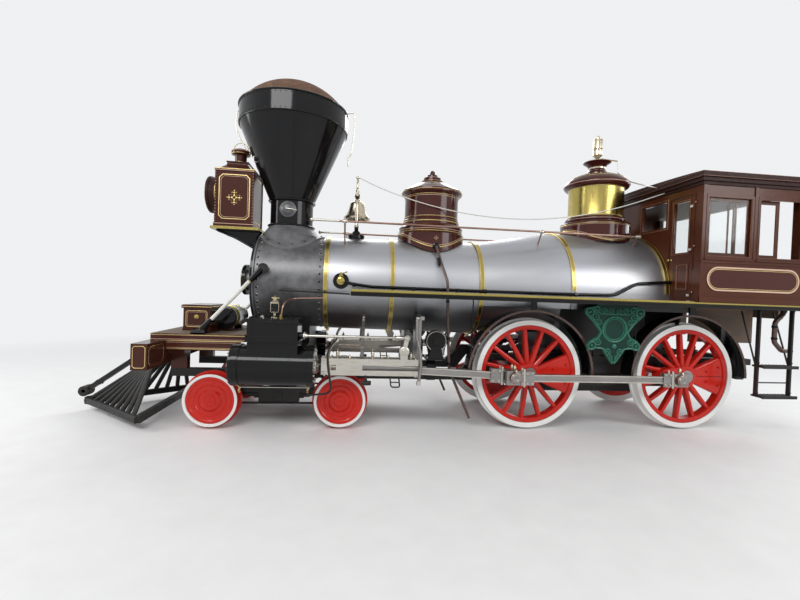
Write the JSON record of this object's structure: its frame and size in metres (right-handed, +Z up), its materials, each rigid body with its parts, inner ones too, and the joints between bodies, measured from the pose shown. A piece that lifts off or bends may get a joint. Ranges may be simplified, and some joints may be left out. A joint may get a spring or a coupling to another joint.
{
  "type": "steam locomotive",
  "caption": "Wood-burning steam locomotive with a funnel-shaped stack, coupled spoked driving wheels, leading truck, wooden cab and slatted pilot, without its tender.",
  "frame": {"origin": "middle of the length and width, at the lowest point of the wheel flanges", "axes": "+X ahead, +Y to the left side, +Z up"},
  "size_m": [10, 2.824, 4.7],
  "materials": {
    "black_paint": "gloss black enamel",
    "dark_iron": "dull black iron",
    "graphite": "satin graphite on sheet iron",
    "jacket_iron": "planished blue-grey sheet iron",
    "brass": "polished brass",
    "brown_paint": "gloss red-brown enamel",
    "brown_wood": "varnished red-brown wood",
    "red_paint": "gloss vermilion enamel",
    "tyre_steel": "white painted steel tyre",
    "bright_steel": "bright machined steel",
    "rod_steel": "oiled grey steel",
    "rust_screen": "rusty woven wire",
    "copper": "dull copper",
    "green_paint": "dark green enamel",
    "white_steel": "bright white steel",
    "deck_wood": "worn grey-brown boards",
    "pane": "clear window glass",
    "cord": "white cotton rope"
  },
  "bodies": {
    "root": {"frame_left": "dark_iron", "frame_right": "dark_iron", "frame_stays": "dark_iron", "saddle": "black_paint", "cylinders": "black_paint", "steam_chests": "black_paint", "smokebox": "graphite", "boiler": "jacket_iron", "boiler_bands": "brass", "stack": "black_paint", "stack_screen": "rust_screen", "headlight": "brown_paint", "headlight_shelf": "black_paint", "bell_stand": "black_paint", "sand_dome": "brown_paint", "steam_dome": "brown_paint", "whistle": "brass", "handrails": "copper", "running_boards": "black_paint", "wheel_guards": "black_paint", "cab_front": "brown_wood", "cab_side_left": "brown_wood", "cab_side_right": "brown_wood", "cab_roof": "brown_wood", "cab_floor": "deck_wood", "cab_glass": "pane", "seat_boxes": "brown_wood", "backhead_fittings": "brass", "pilot_beam": "brown_paint", "pilot": "dark_iron", "deck_box": "brown_paint", "braces": "white_steel", "guides": "bright_steel", "yokes": "bright_steel", "crossheads": "bright_steel", "valve_gear": "bright_steel", "pipes": "copper", "steps": "dark_iron", "side_brackets": "green_paint", "ashpan": "dark_iron", "bell_cord": "cord", "springs": "dark_iron", "spring_drums": "black_paint", "feed_pipes": "black_paint"},
    "smokebox_door": {"smokebox_door": "graphite"},
    "bell": {"bell": "brass"},
    "cab_door_left": {"cab_door_left": "brown_wood"},
    "cab_door_right": {"cab_door_right": "brown_wood"},
    "push_bar": {"push_bar": "dark_iron"},
    "main_axle": {"main_wheels": "red_paint", "main_tyres": "tyre_steel"},
    "rear_axle": {"rear_wheels": "red_paint", "rear_tyres": "tyre_steel"},
    "main_rod_left": {"main_rod_left": "rod_steel"},
    "main_rod_right": {"main_rod_right": "rod_steel"},
    "side_rod_left": {"side_rod_left": "rod_steel"},
    "side_rod_right": {"side_rod_right": "rod_steel"},
    "truck": {"truck_frame": "dark_iron"},
    "truck_front_axle": {"truck_front_wheels": "red_paint"},
    "truck_rear_axle": {"truck_rear_wheels": "red_paint"}
  },
  "joints": [
    {"name": "main_axle_turn", "type": "hinge", "parent": "root", "child": "main_axle", "pos_m": [-1.1, 0, 0.752], "axis": [0, 1, 0], "continuous": true},
    {"name": "rear_axle_turn", "type": "hinge", "parent": "root", "child": "rear_axle", "pos_m": [-3.38, 0, 0.752], "axis": [0, 1, 0], "continuous": true},
    {"name": "main_rod_left_turn", "type": "hinge", "parent": "main_axle", "child": "main_rod_left", "pos_m": [-0.795, 0.98, 0.752], "axis": [0, 1, 0], "continuous": true},
    {"name": "main_rod_right_turn", "type": "hinge", "parent": "main_axle", "child": "main_rod_right", "pos_m": [-1.1, -0.98, 1.057], "axis": [0, 1, 0], "continuous": true},
    {"name": "side_rod_left_turn", "type": "hinge", "parent": "main_axle", "child": "side_rod_left", "pos_m": [-0.795, 0.98, 0.752], "axis": [0, 1, 0], "continuous": true},
    {"name": "side_rod_right_turn", "type": "hinge", "parent": "main_axle", "child": "side_rod_right", "pos_m": [-1.1, -0.98, 1.057], "axis": [0, 1, 0], "continuous": true},
    {"name": "truck_swivel", "type": "hinge", "parent": "root", "child": "truck", "pos_m": [2.21, 0, 0.5], "axis": [0, 0, 1], "range_deg": [-4, 4]},
    {"name": "truck_front_turn", "type": "hinge", "parent": "truck", "child": "truck_front_axle", "pos_m": [3.01, 0, 0.358], "axis": [0, 1, 0], "continuous": true},
    {"name": "truck_rear_turn", "type": "hinge", "parent": "truck", "child": "truck_rear_axle", "pos_m": [1.41, 0, 0.358], "axis": [0, 1, 0], "continuous": true},
    {"name": "smokebox_door_swing", "type": "hinge", "parent": "root", "child": "smokebox_door", "pos_m": [2.658, -0.39, 1.89], "axis": [0, 0, -1], "range_deg": [0, 90]},
    {"name": "cab_door_left_swing", "type": "hinge", "parent": "root", "child": "cab_door_left", "pos_m": [-3.036, 1.222, 2.5], "axis": [0, 0, 1], "range_deg": [0, 90]},
    {"name": "cab_door_right_swing", "type": "hinge", "parent": "root", "child": "cab_door_right", "pos_m": [-3.036, -1.222, 2.5], "axis": [0, 0, -1], "range_deg": [0, 90]},
    {"name": "bell_swing", "type": "hinge", "parent": "root", "child": "bell", "pos_m": [1.275, 0, 3.124], "axis": [0, 1, 0], "range_deg": [-35, 35], "deforming": ["bell_cord"]},
    {"name": "push_bar_lift", "type": "hinge", "parent": "root", "child": "push_bar", "pos_m": [3.865, 0, 1.04], "axis": [0, -1, 0], "range_deg": [0, 33]}
  ],
  "couplings": [
    {"joint": "rear_axle_turn", "follows": "main_axle_turn", "ratio": 1},
    {"joint": "main_rod_left_turn", "follows": "main_axle_turn", "ratio": -1},
    {"joint": "main_rod_right_turn", "follows": "main_axle_turn", "ratio": -1},
    {"joint": "side_rod_left_turn", "follows": "main_axle_turn", "ratio": -1},
    {"joint": "side_rod_right_turn", "follows": "main_axle_turn", "ratio": -1}
  ]
}
